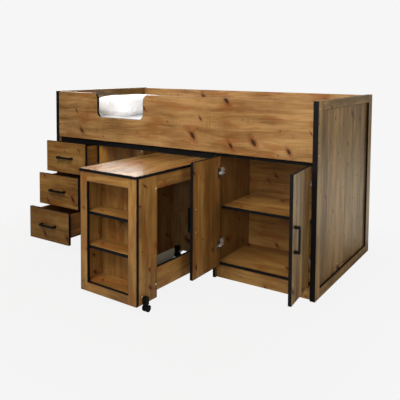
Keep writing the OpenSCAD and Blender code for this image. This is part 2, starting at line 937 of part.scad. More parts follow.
module desk_back() {
    color(oak)
        at_desk()
            block(desk_t, desk_in_r, desk_back_y, case_d, open_z - desk_t, top_under);
}

module desk_side_rails() {
    color(oak)
        at_desk() {
            block(desk_in_r, desk_w, case_d, panel_y1 + desk_t, top_under - side_rail_top + band_t,
                  top_under);
            block(desk_in_r, desk_w, case_d, panel_y1 + desk_t, side_rail_z,
                  side_rail_z + side_rail_low - band_t);
        }
}

module desk_rear() {
    color(oak)
        at_desk()
            block(desk_t, desk_in_r, panel_y1, desk_d, panel_low, top_under);
}

module desk_edges() {
    x0 = -top_over;
    x1 = desk_w + top_over;
    y0 = -top_over_y;
    y1 = desk_d + top_over_y;
    color(black)
        at_desk() {
            // round the desktop
            difference() {
                block(x0, x1, y0, y1, top_under, desk_h);
                block(x0 + band_t, x1 - band_t, y0 + band_t, y1 - band_t,
                      top_under - eps, desk_h + eps);
            }
            // round the opening of the face frame
            translate([0, 0, open_z])
                difference() {
                    block(face_left - band_t, desk_w - face_right + band_t, 0, face_t,
                          -band_t, open_h + band_t);
                    block(face_left, desk_w - face_right, -eps, face_t + eps, 0, open_h);
                }
            // outer edges of the face frame
            block(0, band_t, 0, face_t, desk_low, top_under);
            block(desk_w - band_t, desk_w, 0, face_t, desk_low, top_under);
            // front edges of the shelves
            for (z = [open_z, desk_shelf_1, desk_shelf_2])
                block(desk_t, desk_in_r, face_t, face_t + band_t, z - desk_t, z);
            // edges of the side rails
            block(desk_in_r, desk_w, case_d, desk_d, top_under - side_rail_top,
                  top_under - side_rail_top + band_t);
            block(desk_in_r, desk_w, case_d, desk_d, side_rail_z + side_rail_low - band_t,
                  side_rail_z + side_rail_low);
        }
}

// ---- castors ----

// a socket on a panel whose face lies on the plane x = 0
module castor_bracket() {
    difference() {
        block(0, bracket_deep, -bracket_w / 2, bracket_w / 2, bracket_z, bracket_z + bracket_h);
        translate([bracket_out, 0, bracket_z - eps])
            cylinder(r = stem_r + pin_gap, h = stem_top - bracket_z + 2 * eps);
    }
}

module castor_brackets() {
    color(black)
        at_desk() {
            translate([desk_w, front_right_at[1], 0])
                castor_bracket();
            translate([desk_t, front_left_at[1], 0])
                castor_bracket();
            for (x = [rear_left_at[0], rear_right_at[0]])
                translate([x, panel_y1, 0])
                    rotate([0, 0, -90])
                        castor_bracket();
        }
}

// hood, web and stem, with the swivel axis on the Z axis and the axle behind it
module castor_hood() {
    color(black) {
        difference() {
            translate([-castor_half, castor_trail, wheel_r])
                rotate([0, 90, 0])
                    cylinder(r = hood_r, h = 2 * castor_half);
            translate([-castor_half - eps, castor_trail, wheel_r])
                rotate([0, 90, 0])
                    cylinder(r = hood_r0, h = 2 * (castor_half + eps));
            block(-castor_half - eps, castor_half + eps, castor_trail - hood_r - eps,
                  castor_trail + hood_r + eps, wheel_r - hood_r - eps, wheel_r + hood_cut);
        }
        difference() {
            union() {
                // web between the wheels: a disc round the axle, and the part under the hood
                translate([-web_t / 2, castor_trail, wheel_r])
                    rotate([0, 90, 0])
                        cylinder(r = wheel_r - web_in, h = web_t);
                difference() {
                    translate([-web_t / 2, castor_trail, wheel_r])
                        rotate([0, 90, 0])
                            cylinder(r = hood_r - 0.1, h = web_t);
                    block(-web_t, web_t, castor_trail - hood_r - eps, castor_trail + hood_r + eps,
                          wheel_r - hood_r - eps, wheel_r + hood_cut);
                }
            }
            translate([-web_t / 2 - eps, castor_trail, wheel_r])
                rotate([0, 90, 0])
                    cylinder(r = axle_r + pin_gap, h = web_t + 2 * eps);
        }
        // the stem stops inside the hood's shell, clear of the wheels
        difference() {
            translate([0, 0, wheel_r])
                cylinder(r = stem_r, h = stem_top - wheel_r);
            translate([-castor_half, castor_trail, wheel_r])
                rotate([0, 90, 0])
                    cylinder(r = hood_r0 + hood_t / 3, h = 2 * castor_half);
        }
    }
}

module castor_wheels() {
    color(black)
        translate([0, castor_trail, wheel_r])
            rotate([0, 90, 0]) {
                for (s = [-1, 1])
                    translate([0, 0, s * (wheel_in + wheel_w / 2)])
                        cylinder(r = wheel_r, h = wheel_w, center = true);
                cylinder(r = axle_r, h = 2 * wheel_in, center = true);
            }
}

module castor(at) {
    at_desk()
        translate([at[0], at[1], 0])
            children();
}

end_frames();
end_fields();
guard_front();
rear_boards();
rail_front();
slat_ledges();
slats();
mattress();
pillow();
chest_side();
chest_decks();
chest_back();
drawer_runners();
cupboard_plinth();
cupboard_side();
cupboard_decks();
cupboard_back();
cupboard_shelf();
shelf_pins();
hinge_plates();
edge_bands();
translate([0, -open_top, 0]) drawer_front(2);  // drawer_top_front
translate([0, -open_top, 0]) drawer_edges(2);  // drawer_top_edges
translate([0, -open_top, 0]) drawer_box(2);  // drawer_top_box
translate([0, -open_top, 0]) drawer_handle(2);  // drawer_top_handle
translate([0, -open_middle, 0]) drawer_front(1);  // drawer_middle_front
translate([0, -open_middle, 0]) drawer_edges(1);  // drawer_middle_edges
translate([0, -open_middle, 0]) drawer_box(1);  // drawer_middle_box
translate([0, -open_middle, 0]) drawer_handle(1);  // drawer_middle_handle
translate([0, -open_bottom, 0]) drawer_front(0);  // drawer_bottom_front
translate([0, -open_bottom, 0]) drawer_edges(0);  // drawer_bottom_edges
translate([0, -open_bottom, 0]) drawer_box(0);  // drawer_bottom_box
translate([0, -open_bottom, 0]) drawer_handle(0);  // drawer_bottom_handle
door_left_panel();
door_left_edges();
door_left_cups();
door_left_handle();
hinge_links_left();
door_right_panel();
door_right_edges();
door_right_cups();
door_right_handle();
hinge_links_right();
desk_top();
desk_face_frame();
desk_sides();
desk_shelves();
desk_back();
desk_side_rails();
desk_rear();
desk_edges();
castor_brackets();
castor(front_right_at) castor_hood();  // castor_front_right
castor(front_left_at) castor_hood();  // castor_front_left
castor(rear_left_at) castor_hood();  // castor_rear_left
castor(rear_right_at) castor_hood();  // castor_rear_right
castor(front_right_at) castor_wheels();  // wheels_front_right
castor(front_left_at) castor_wheels();  // wheels_front_left
castor(rear_left_at) castor_wheels();  // wheels_rear_left
castor(rear_right_at) castor_wheels();  // wheels_rear_right
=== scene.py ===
import math

import bmesh
import bpy
from mathutils import Matrix, Vector, noise


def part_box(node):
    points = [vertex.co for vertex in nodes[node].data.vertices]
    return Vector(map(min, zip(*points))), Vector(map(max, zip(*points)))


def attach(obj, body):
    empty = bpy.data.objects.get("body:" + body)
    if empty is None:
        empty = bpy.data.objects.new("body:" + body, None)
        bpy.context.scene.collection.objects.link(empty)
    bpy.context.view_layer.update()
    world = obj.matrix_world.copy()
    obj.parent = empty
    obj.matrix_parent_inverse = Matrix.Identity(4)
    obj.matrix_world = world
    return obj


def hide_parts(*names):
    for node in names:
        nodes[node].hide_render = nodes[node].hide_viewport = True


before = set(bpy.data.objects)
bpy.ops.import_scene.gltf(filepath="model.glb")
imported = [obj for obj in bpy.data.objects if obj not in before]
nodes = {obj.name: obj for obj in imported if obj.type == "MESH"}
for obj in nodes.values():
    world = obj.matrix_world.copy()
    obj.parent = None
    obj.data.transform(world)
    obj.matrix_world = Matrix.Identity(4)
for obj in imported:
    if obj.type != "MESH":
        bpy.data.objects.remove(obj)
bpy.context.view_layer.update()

print("frame loaded:", len(nodes), "nodes")


# camera

view = {
    "place": (3.019, -2.723, 1.2557),
    "turn": -32.99,        # degrees from +Y, towards +X
    "down": 3.64,          # degrees below the horizon
    "roll": 0.42,
    "lens": 48.51,
    "shiftY": -0.2418,
}


def makeCamera():
    turn, down, roll = (math.radians(view[k]) for k in ("turn", "down", "roll"))
    ahead = Vector((math.sin(turn) * math.cos(down), math.cos(turn) * math.cos(down), -math.sin(down)))
    side = Vector((math.cos(turn), -math.sin(turn), 0))
    up = side.cross(ahead)
    sideRolled = side * math.cos(roll) + up * math.sin(roll)
    upRolled = up * math.cos(roll) - side * math.sin(roll)
    data = bpy.data.cameras.new("photoView")
    data.lens, data.sensor_width, data.shift_y = view["lens"], 36, view["shiftY"]
    camera = bpy.data.objects.new("photoView", data)
    bpy.context.scene.collection.objects.link(camera)
    axes = Matrix((sideRolled, upRolled, -ahead)).transposed().to_4x4()
    camera.matrix_world = Matrix.Translation(view["place"]) @ axes
    bpy.context.scene.camera = camera


makeCamera()


# small helpers for materials

# a material and its node tree
class Maker:
    def __init__(self, name, **sockets):
        self.material = bpy.data.materials.new(name)
        self.material.use_nodes = True
        self.tree = self.material.node_tree
        self.shader = self.tree.nodes["Principled BSDF"]
        for key, value in sockets.items():
            self.shader.inputs[key.replace("_", " ")].default_value = value
        self.place = self.add("ShaderNodeTexCoord").outputs["Object"]

    def add(self, kind, **settings):
        node = self.tree.nodes.new(kind)
        for key, value in settings.items():
            setattr(node, key, value)
        return node

    def feed(self, socket, value):
        if isinstance(value, bpy.types.NodeSocket):
            self.tree.links.new(value, socket)
        else:
            socket.default_value = value

    def math(self, operation, *values, clamp=False):
        node = self.add("ShaderNodeMath", operation=operation, use_clamp=clamp)
        for socket, value in zip(node.inputs, values):
            self.feed(socket, value)
        return node.outputs[0]

    def split(self, vector):
        node = self.add("ShaderNodeSeparateXYZ")
        self.feed(node.inputs[0], vector)
        return node.outputs

    def join(self, x, y, z):
        node = self.add("ShaderNodeCombineXYZ")
        for socket, value in zip(node.inputs, (x, y, z)):
            self.feed(socket, value)
        return node.outputs[0]

    def noise(self, vector, scale=1.0, detail=3.0, roughness=0.55, distortion=0.0):
        node = self.add("ShaderNodeTexNoise")
        for key, value in (("Vector", vector), ("Scale", scale), ("Detail", detail),
                           ("Roughness", roughness), ("Distortion", distortion)):
            self.feed(node.inputs[key], value)
        return node.outputs["Fac"]

    def mixValue(self, share, a, b):
        node = self.add("ShaderNodeMix")
        for index, value in ((0, share), (2, a), (3, b)):
            self.feed(node.inputs[index], value)
        return node.outputs[0]

    def mixColour(self, share, a, b, blend="MIX"):
        node = self.add("ShaderNodeMix", data_type="RGBA", blend_type=blend)
        for index, value in ((0, share), (6, a), (7, b)):
            self.feed(node.inputs[index], value)
        return node.outputs[2]

    def ramp(self, share, stops):
        node = self.add("ShaderNodeValToRGB")
        elements = node.color_ramp.elements
        while len(elements) < len(stops):
            elements.new(0.5)
        for element, (position, colour) in zip(elements, stops):
            element.position, element.color = position, (*colour, 1)
        self.feed(node.inputs[0], share)
        return node.outputs[0]

    def smooth(self, value, low, high):
        node = self.add("ShaderNodeMapRange", interpolation_type="SMOOTHSTEP")
        for index, number in ((0, value), (1, low), (2, high), (3, 0.0), (4, 1.0)):
            self.feed(node.inputs[index], number)
        return node.outputs[0]

    def bump(self, height, strength, distance):
        node = self.add("ShaderNodeBump")
        node.inputs["Strength"].default_value = strength
        node.inputs["Distance"].default_value = distance
        self.feed(node.inputs["Height"], height)
        self.feed(self.shader.inputs["Normal"], node.outputs[0])

    def colour(self, socket):
        self.feed(self.shader.inputs["Base Color"], socket)

    def roughness(self, socket):
        self.feed(self.shader.inputs["Roughness"], socket)


# wood

rusticOak = {
    "deep": (0.134, 0.058, 0.013),
    "honey": (0.245, 0.117, 0.028),
    "pale": (0.360, 0.188, 0.052),
    "ruddy": (0.215, 0.062, 0.010),
    "knot": (0.021, 0.0055, 0.0025),
    "tones": (0.465, 0.545, 0.632),     # where deep, honey and pale stand in the figure
    "knotRoom": (7.5, 4.6),     # knots per metre along and across the grain
    "knotLeast": 0.035,
    "knotSize": 0.100,
    "knotShare": 0.72,
    "knotRagged": 0.045,
    "slant": 4.2,
    "pinRoom": (13.0, 15.0),
    "pinSize": (0.025, 0.045),      # the least, and what is added to it
    "pinShare": 0.17,
    "sway": 0.075,
    "blush": 0.50,
    "sawMarks": 0.62,
    "shine": 0.36,
    "gloss": 0.42,
}


# what the grain is summed from: each field's stretch along and across, detail and roughness
figure = {
    "bands": {"field": (0.8, 11.0, 2.0, 0.5), "share": 0.26},
    "flames": {"field": (2.6, 34.0, 3.0, 0.6), "share": 0.24},
    "growth": {"field": (4.5, 110.0, 3.0, 0.6), "share": 0.22},
    "fibres": {"field": (16.0, 520.0, 2.0, 0.6), "share": 0.12},
    "clouds": {"field": (3.0, 5.0, 3.0), "share": 0.26},
    "plankShare": 0.08,
}


def woodMaterial(name, grain, across, look=rusticOak, other=None, planks=None, seed=0.0, tone=1.0):
    # grain and across are 0, 1 or 2 for X, Y or Z; other is (axis, low, high, grain, across):
    # between low and high on that axis the boards run the other way
    made = Maker(name, Specular_IOR_Level=look["gloss"])
    axes = made.split(made.place)

    def choose(pick):
        return axes[pick[0]], axes[pick[1]], axes[3 - pick[0] - pick[1]]

    along, side, depth = choose((grain, across))
    if other:
        axis, low, high, grainB, acrossB = other
        inside = made.math("MULTIPLY", made.math("GREATER_THAN", axes[axis], low),
                           made.math("LESS_THAN", axes[axis], high))
        second = choose((grainB, acrossB))
        along, side, depth = (made.mixValue(inside, a, b)
                              for a, b in zip((along, side, depth), second))
        seedShift = made.math("MULTIPLY", inside, 3.7)
    else:
        seedShift = 0.0
    along = made.math("ADD", made.math("ADD", along, seed), seedShift)

    plankTone = 0.5
    if planks:
        start, pitch = planks
        index = made.math("FLOOR", made.math("DIVIDE", made.math("SUBTRACT", side, start), pitch))
        white = made.add("ShaderNodeTexWhiteNoise", noise_dimensions="1D")
        made.feed(white.inputs["W"], made.math("ADD", index, seed))
        plankTone = white.outputs["Value"]
        along = made.math("ADD", along, made.math("MULTIPLY", plankTone, 9.0))

    # noise that is drawn out along the grain
    def field(stretchAlong, stretchSide, detail=2.0, rough=0.55, line=side):
        spot = made.join(made.math("MULTIPLY", along, stretchAlong),
                         made.math("MULTIPLY", line, stretchSide),
                         made.math("MULTIPLY", depth, stretchSide * 0.5))
        return made.noise(spot, 1.0, detail, rough)

    # slow waves bend the grain
    swayed = made.math("MULTIPLY_ADD", made.math("SUBTRACT", field(1.9, 3.4), 0.5), look["sway"], side)

    # knots: one in each cell, of which a share shows, some of them drawn out into spikes
    cells = made.add("ShaderNodeTexVoronoi", voronoi_dimensions="2D", feature="F1")
    cells.inputs["Scale"].default_value = 1.0
    cells.inputs["Randomness"].default_value = 0.9
    room = look["knotRoom"]
    skew = made.math("MULTIPLY_ADD", side, look["slant"], made.math("MULTIPLY", along, room[0]))
    made.feed(cells.inputs["Vector"], made.join(skew, made.math("MULTIPLY", swayed, room[1]), 0.0))
    dice = made.split(cells.outputs["Color"])
    shows = made.math("LESS_THAN", dice[0], look["knotShare"])
    size = made.math("MULTIPLY_ADD", made.math("MULTIPLY", dice[1], dice[1]), look["knotSize"],
                     look["knotLeast"])
    ragged = field(75.0, 75.0)
    reach = made.math("MULTIPLY_ADD", made.math("SUBTRACT", ragged, 0.5), look["knotRagged"],
                      cells.outputs["Distance"])
    ratio = made.math("DIVIDE", reach, size)
    knot = made.math("MULTIPLY", shows, made.math("SUBTRACT", 1.0, made.smooth(ratio, 0.42, 1.02)))
    halo = made.math("MULTIPLY", shows, made.math("SUBTRACT", 1.0, made.smooth(ratio, 0.7, 2.4)))
    bent = made.math("MULTIPLY_ADD", halo, 0.020, swayed)

    # pin knots, small and round
    pins = made.add("ShaderNodeTexVoronoi", voronoi_dimensions="2D", feature="F1")
    pins.inputs["Scale"].default_value = 1.0
    pinAlong, pinSide = look["pinRoom"]
    made.feed(pins.inputs["Vector"], made.join(made.math("MULTIPLY", along, pinAlong),
                                               made.math("MULTIPLY_ADD", side, pinSide, 4.0), 0.0))
    pinDice = made.split(pins.outputs["Color"])
    pinLeast, pinMore = look["pinSize"]
    pinSize = made.math("MULTIPLY_ADD", pinDice[1], pinMore, pinLeast)
    pin = made.math("MULTIPLY", made.math("LESS_THAN", pinDice[0], look["pinShare"]),
                    made.math("SUBTRACT", 1.0, made.smooth(
                        made.math("DIVIDE", pins.outputs["Distance"], pinSize), 0.5, 1.6)))

    layers = {layer: field(*figure[layer]["field"], bent)
              for layer in ("bands", "flames", "growth", "fibres")}
    layers["clouds"] = field(*figure["clouds"]["field"])
    total = made.math("MULTIPLY", layers["flames"], figure["flames"]["share"])
    for layer in ("bands", "growth", "fibres", "clouds"):
        total = made.math("MULTIPLY_ADD", layers[layer], figure[layer]["share"], total)
    total = made.math("MULTIPLY_ADD", made.math("SUBTRACT", plankTone, 0.5), figure["plankShare"],
                      total)
    colour = made.ramp(total, list(zip(look["tones"], (look["deep"], look["honey"], look["pale"]))))

    # faint saw marks across the grain, in patches
    saw = made.noise(made.join(made.math("MULTIPLY", along, 120.0),
                               made.math("MULTIPLY", side, 9.0), 0.0), 1.0, 1.0)
    patch = made.smooth(field(2.2, 7.0), 0.48, 0.62)
    sawMask = made.math("MULTIPLY", made.smooth(saw, 0.60, 0.72),
                        made.math("MULTIPLY", patch, look["sawMarks"]))
    ruddy = (*look["ruddy"], 1)
    blush = made.math("MULTIPLY", made.smooth(field(5.0, 15.0, 3.0), 0.50, 0.64), look["blush"])
    colour = made.mixColour(blush, colour, ruddy)
    colour = made.mixColour(sawMask, colour, (*look["deep"], 1))
    colour = made.mixColour(made.math("MULTIPLY", halo, 0.55), colour,
                            (*(c * share for c, share in zip(look["ruddy"], (0.70, 0.45, 0.40))), 1))
    colour = made.mixColour(made.math("MULTIPLY", made.math("MAXIMUM", knot, pin), 0.92), colour,
                            (*look["knot"], 1))
    if tone != 1.0:
        colour = made.mixColour(1.0, colour, (tone, tone, tone, 1), "MULTIPLY")
    made.colour(colour)
    made.roughness(made.math("MULTIPLY_ADD", layers["growth"], 0.14, look["shine"] - 0.07))
    relief = made.math("MULTIPLY_ADD", layers["fibres"], 0.6, layers["growth"])
    made.bump(made.math("SUBTRACT", relief, knot), 0.22, 0.0006)
    return made.material


x, y, z = 0, 1, 2
endLow, endHigh = 0.067, 0.943
palePine = dict(rusticOak, deep=(0.42, 0.27, 0.13), honey=(0.62, 0.44, 0.25),
                pale=(0.74, 0.58, 0.37), ruddy=(0.45, 0.27, 0.12), knot=(0.2, 0.09, 0.04),
                knotShare=0.3, shine=0.5)
endOak = dict(rusticOak, deep=(0.085, 0.044, 0.011), honey=(0.200, 0.108, 0.030),
              pale=(0.345, 0.200, 0.068), ruddy=(0.150, 0.052, 0.010), knotShare=0.62, shine=0.32)
# painted light: a lighter, warmer copy of the oak for the chest side, which stands in shade under the
# rail and behind the desk
chestOakPaintedLight = dict(rusticOak, deep=(0.240, 0.092, 0.010), honey=(0.430, 0.185, 0.022),
                pale=(0.600, 0.290, 0.040))
dimOak = dict(rusticOak, deep=(0.160, 0.088, 0.032), honey=(0.285, 0.160, 0.062),
              pale=(0.400, 0.240, 0.105))
guardOak = dict(rusticOak, deep=(0.150, 0.066, 0.016), honey=(0.270, 0.137, 0.043),
                pale=(0.395, 0.218, 0.078))
deskOak = dict(rusticOak, ruddy=(0.30, 0.062, 0.008), knotShare=0.9, shine=0.2)
drawerOak = dict(rusticOak, gloss=0.14)
drawerBoard = dict(rusticOak, deep=(0.115, 0.042, 0.006), honey=(0.205, 0.078, 0.009),
                   pale=(0.290, 0.120, 0.018), ruddy=(0.140, 0.044, 0.006), knotShare=0.2, shine=0.55)
endPlanks, doorPlanks = (0.031, 0.158), (-0.3005, 0.0587)    # first groove and pitch
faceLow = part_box("desk_face_frame")[0].x + 0.052
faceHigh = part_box("desk_face_frame")[1].x - 0.058

woods = {
    "end_frames": woodMaterial("oakEndFrame", z, y, look=endOak, other=(y, endLow, endHigh, y, z),
                               seed=1.3),
    "end_fields": woodMaterial("oakEndField", z, y, look=endOak, planks=endPlanks, seed=4.0),
    "guard_front": woodMaterial("oakGuard", x, z, look=guardOak, seed=2.0),
    # painted light: the rear boards are drawn 1.3 times lighter, for light that does not reach the
    # stretcher deep in the bay
    "rear_boards": woodMaterial("oakRearBoard", x, z, look=guardOak, seed=7.0, tone=1.3),
    "chest_side": woodMaterial("oakChestSide", z, y, look=chestOakPaintedLight, seed=5.0),
    "chest_decks": woodMaterial("oakChestDeck", x, y, seed=6.0),
    "chest_back": woodMaterial("oakChestBack", x, z, seed=8.0),
    "cupboard_plinth": woodMaterial("oakPlinth", x, z, seed=9.0, tone=0.82),
    # painted shade: the cupboard side is drawn darker, for a face that the fill lamp lights more than
    # the room did
    "cupboard_side": woodMaterial("oakCupboardSide", z, y, seed=10.0, tone=0.74),
    "cupboard_decks": woodMaterial("oakCupboardDeck", x, y, seed=11.0, tone=1.1),
    "cupboard_back": woodMaterial("oakCupboardBack", x, z, seed=12.0),
    # painted light: the shelf inside the cupboard is drawn 1.45 times lighter, for light that does not
    # reach the cupboard's interior
    "cupboard_shelf": woodMaterial("oakShelf", x, y, seed=13.0, tone=1.45),
    "drawer_top_front": woodMaterial("oakDrawerTop", x, z, look=drawerOak, seed=14.0, tone=0.74),
    "drawer_middle_front": woodMaterial("oakDrawerMiddle", x, z, look=drawerOak, seed=15.5, tone=0.88),
    "drawer_bottom_front": woodMaterial("oakDrawerBottom", x, z, look=drawerOak, seed=17.0, tone=0.62),
    "door_left_panel": woodMaterial("oakDoorLeft", z, y, planks=doorPlanks, seed=18.0),
    "door_right_panel": woodMaterial("oakDoorRight", z, y, look=endOak, planks=doorPlanks, seed=19.0),
    "desk_top": woodMaterial("oakDesktop", y, x, look=deskOak, seed=20.0),
    "desk_face_frame": woodMaterial("oakFaceFrame", z, x, other=(x, faceLow, faceHigh, x, z),
                                    seed=21.0),
    "desk_sides": woodMaterial("oakDeskSide", z, y, seed=22.0),
    "desk_shelves": woodMaterial("oakDeskShelf", x, y, seed=23.0, tone=1.2),
    "desk_back": woodMaterial("oakDeskBack", z, x, seed=24.0),
    "desk_side_rails": woodMaterial("oakDeskRail", y, z, seed=25.0),
    "desk_rear": woodMaterial("oakDeskRear", z, x, look=dimOak, seed=26.0),
    "slats": woodMaterial("pineSlat", y, x, look=palePine, seed=27.0),
    "slat_ledges": woodMaterial("pineLedge", x, z, look=palePine, seed=28.0),
}
drawerWood = woodMaterial("drawerBoard", y, z, look=drawerBoard, seed=29.0)
print("wood materials made")


# black board, plastic and metals

def blackMaterial(name, colour, roughness, grainScale, bumpSize):
    made = Maker(name, Specular_IOR_Level=0.12)
    speck = made.noise(made.place, grainScale, 3.0)
    wear = made.noise(made.place, 9.0, 2.0)
    mixed = made.math("MULTIPLY_ADD", wear, 0.6, made.math("MULTIPLY", speck, 0.4))
    made.colour(made.ramp(mixed, [(0.35, tuple(c * 0.75 for c in colour)),
                                  (0.65, tuple(c * 1.35 for c in colour))]))
    made.roughness(made.math("MULTIPLY_ADD", speck, 0.18, roughness - 0.09))
    made.bump(speck, 0.25, bumpSize)
    return made.material


def steelMaterial(name, tint, roughness, metal=1.0):
    made = Maker(name, Metallic=metal)
    px, py, pz = made.split(made.place)
    brushed = made.noise(made.join(made.math("MULTIPLY", px, 900.0), made.math("MULTIPLY", py, 900.0),
                                   made.math("MULTIPLY", pz, 60.0)), 1.0, 3.0)
    made.colour(made.ramp(brushed, [(0.3, tuple(c * 0.82 for c in tint)), (0.7, tint)]))
    made.roughness(made.math("MULTIPLY_ADD", brushed, 0.2, roughness - 0.1))
    made.bump(brushed, 0.08, 0.0001)
    return made.material


edgeBlack = blackMaterial("blackEdging", (0.0046, 0.0045, 0.0045), 0.58, 900.0, 0.0001)
railBlack = blackMaterial("blackRail", (0.0046, 0.0046, 0.0048), 0.62, 400.0, 0.0002)
handleBlack = blackMaterial("blackHandle", (0.0042, 0.0042, 0.0043), 0.50, 1400.0, 0.00008)
castorBlack = blackMaterial("blackCastor", (0.0050, 0.0050, 0.0052), 0.40, 700.0, 0.0001)
slideBlack = blackMaterial("blackSlide", (0.0060, 0.0060, 0.0065), 0.45, 900.0, 0.00008)
wheelBlack = blackMaterial("blackWheel", (0.0058, 0.0058, 0.0060), 0.55, 700.0, 0.0001)
hingeSteel = steelMaterial("hingeSteel", (0.93, 0.93, 0.91), 0.26, 0.55)
cupSteel = steelMaterial("cupSteel", (0.34, 0.34, 0.33), 0.36)
runnerSteel = steelMaterial("runnerSteel", (0.48, 0.49, 0.50), 0.34)
screwSteel = steelMaterial("screwSteel", (0.62, 0.62, 0.60), 0.3)


def capMaterial():
    made = Maker("paleCap", Roughness=0.45)
    speck = made.noise(made.place, 600.0, 2.0)
    made.colour(made.ramp(speck, [(0.3, (0.47, 0.38, 0.26)), (0.7, (0.60, 0.50, 0.37))]))
    made.bump(speck, 0.2, 0.0001)
    return made.material


paleCap = capMaterial()


# dress the boards and the fittings that come from the frame

def dress(name, material):
    thing = nodes[name]
    thing.data.materials.clear()
    thing.data.materials.append(material)


edgeWidth = {"plain": 0.0006, "guard_front": 0.0016, "rear_boards": 0.0016, "end_frames": 0.0016}


def soften(name):
    edge = nodes[name].modifiers.new("softEdge", "BEVEL")
    edge.width = edgeWidth.get(name, edgeWidth["plain"])
    edge.segments, edge.limit_method, edge.angle_limit = 2, "ANGLE", math.radians(50)


fittings = {
    "rail_front": railBlack,
    "drawer_runners": runnerSteel,
    "shelf_pins": hingeSteel,
    "hinge_plates": hingeSteel,
    "hinge_links_left": hingeSteel,
    "hinge_links_right": hingeSteel,
    "door_left_cups": cupSteel,
    "door_right_cups": cupSteel,
    "castor_brackets": castorBlack,
}
for name, material in woods.items():
    dress(name, material)
    soften(name)
for name, material in fittings.items():
    dress(name, material)
for name in nodes:
    if name.endswith("_edges") or name == "edge_bands":
        dress(name, edgeBlack)
    elif name.endswith("_handle"):
        dress(name, handleBlack)
    elif name.endswith("_box"):
        dress(name, drawerWood)
    elif name.startswith("castor_") and name != "castor_brackets":
        dress(name, castorBlack)
    elif name.startswith("wheels_"):
        dress(name, wheelBlack)
print("frame nodes dressed")


# shared mesh helpers

def makeObject(name, mesh, material, body):
    thing = bpy.data.objects.new(name, mesh)
    bpy.context.scene.collection.objects.link(thing)
    mesh.materials.append(material)
    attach(thing, body)
    return thing


def smoothAll(mesh):
    mesh.polygons.foreach_set("use_smooth", [True] * len(mesh.polygons))


# a turned solid: the profile is a list of (radius, height), from the foot to the crown
def turned(form, profile, centre, out, sides=20):
    out = Vector(out).normalized()
    side = out.orthogonal().normalized()
    up = out.cross(side)
    rings = []
    for radius, height in profile:
        if radius == 0:
            rings.append([form.verts.new(centre + out * height)])
            continue
        rings.append([form.verts.new(centre + out * height
                                     + (side * math.cos(a) + up * math.sin(a)) * radius)
                      for a in (2 * math.pi * i / sides for i in range(sides))])
    for lower, upper in zip(rings, rings[1:]):
        for i in range(sides):
            j = (i + 1) % sides
            if len(upper) == 1:
                form.faces.new((lower[i], lower[j], upper[0]))
            else:
                form.faces.new((lower[i], lower[j], upper[j], upper[i]))
    form.faces.new(list(reversed(rings[0])))


def turnedGroup(name, profile, places, out, material, body, sides=20):
    form = bmesh.new()
    for place in places:
        turned(form, profile, Vector(place), out, sides)
    mesh = bpy.data.meshes.new(name)
    form.to_mesh(mesh)
    form.free()
    smoothAll(mesh)
    return makeObject(name, mesh, material, body)


# cover caps over the fixings, where the photograph shows them

caps = {
    "profile": [(0.0050, -0.0004), (0.0050, 0.0005), (0.0042, 0.0009), (0.0024, 0.0011), (0, 0.0012)],
    "endPlaces": [(0.018, 1.050), (0.018, 0.796), (0.389, 0.745), (0.814, 0.631), (0.389, 0.095)],
    "deskPlaces": [(0.044, 0.079), (0.154, 0.110), (0.154, 0.627)],
}
deskTurn = math.radians(2.17)
deskCorner = Vector((0.8865, -0.634, 0))
deskWidth = 0.410


# a place given in the desk's own frame, from its front left corner
def onDesk(px, py, pz):
    return deskCorner + Vector((px * math.cos(deskTurn) + py * math.sin(deskTurn),
                                -px * math.sin(deskTurn) + py * math.cos(deskTurn), pz))


def makeCaps():
    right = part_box("end_frames")[1].x
    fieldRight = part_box("end_fields")[1].x
    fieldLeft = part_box("end_fields")[0].x
    for name, face, field, way in (("caps_right_end", right, fieldRight, 1),
                                   ("caps_left_end", 0.0, fieldLeft, -1)):
        spots = [(face if py < endLow else field, py, pz) for py, pz in caps["endPlaces"]]
        turnedGroup(name, caps["profile"], spots, (way, 0, 0), paleCap, "bed", 16)
    outward = (math.cos(deskTurn), -math.sin(deskTurn), 0)
    turnedGroup("caps_desk_right", caps["profile"], [onDesk(deskWidth, *p) for p in caps["deskPlaces"]],
                outward, paleCap, "desk", 16)
    turnedGroup("caps_desk_left", caps["profile"], [onDesk(0, *p) for p in caps["deskPlaces"]],
                [-c for c in outward], paleCap, "desk", 16)


makeCaps()
print("caps made")


# screws that hold the handles, and the drawers' slide profiles

handleScrews = {
    "profile": [(0.0046, -0.0003), (0.0046, 0.0010), (0.0036, 0.0019), (0.0016, 0.0023), (0, 0.0023)],
    "reach": 0.064,         # from the handle's middle to each screw
    "rightDoor": math.radians(5),
    "footOut": 0.0335,      # from the middle of the right handle's box to its feet
}


def makeHandleScrews():
    for level in ("top", "middle", "bottom"):
        low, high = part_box("drawer_%s_handle" % level)
        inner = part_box("drawer_%s_front" % level)[1].y
        middle, height = (low.x + high.x) / 2, (low.z + high.z) / 2
        spots = [(middle + side * handleScrews["reach"], inner, height) for side in (-1, 1)]
        turnedGroup("screws_drawer_" + level, handleScrews["profile"], spots, (0, 1, 0), screwSteel,
                    "drawer_" + level, 14)
    low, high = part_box("door_left_handle")
    inner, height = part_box("door_left_panel")[1].x, (low.z + high.z) / 2
    spots = [(inner, (low.y + high.y) / 2, height + side * handleScrews["reach"]) for side in (-1, 1)]
    turnedGroup("screws_door_left", handleScrews["profile"], spots, (1, 0, 0), screwSteel,
                "door_left", 14)
    # the right door leans past square; its handle's feet stand on the outer face
    low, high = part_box("door_right_handle")
    lean = handleScrews["rightDoor"]
    out = Vector((-math.cos(lean), -math.sin(lean), 0))
    foot = Vector(((low.x + high.x) / 2, (low.y + high.y) / 2, 0)) + out * handleScrews["footOut"]
    spots = [(foot.x, foot.y, height + side * handleScrews["reach"]) for side in (-1, 1)]
    turnedGroup("screws_door_right", handleScrews["profile"], spots, out, screwSteel,
                "door_right", 14)


slideProfile = {
    "wide": 0.0115,
    "under": 0.0012,
    "up": 0.0075,
    "thick": 0.00022,
}


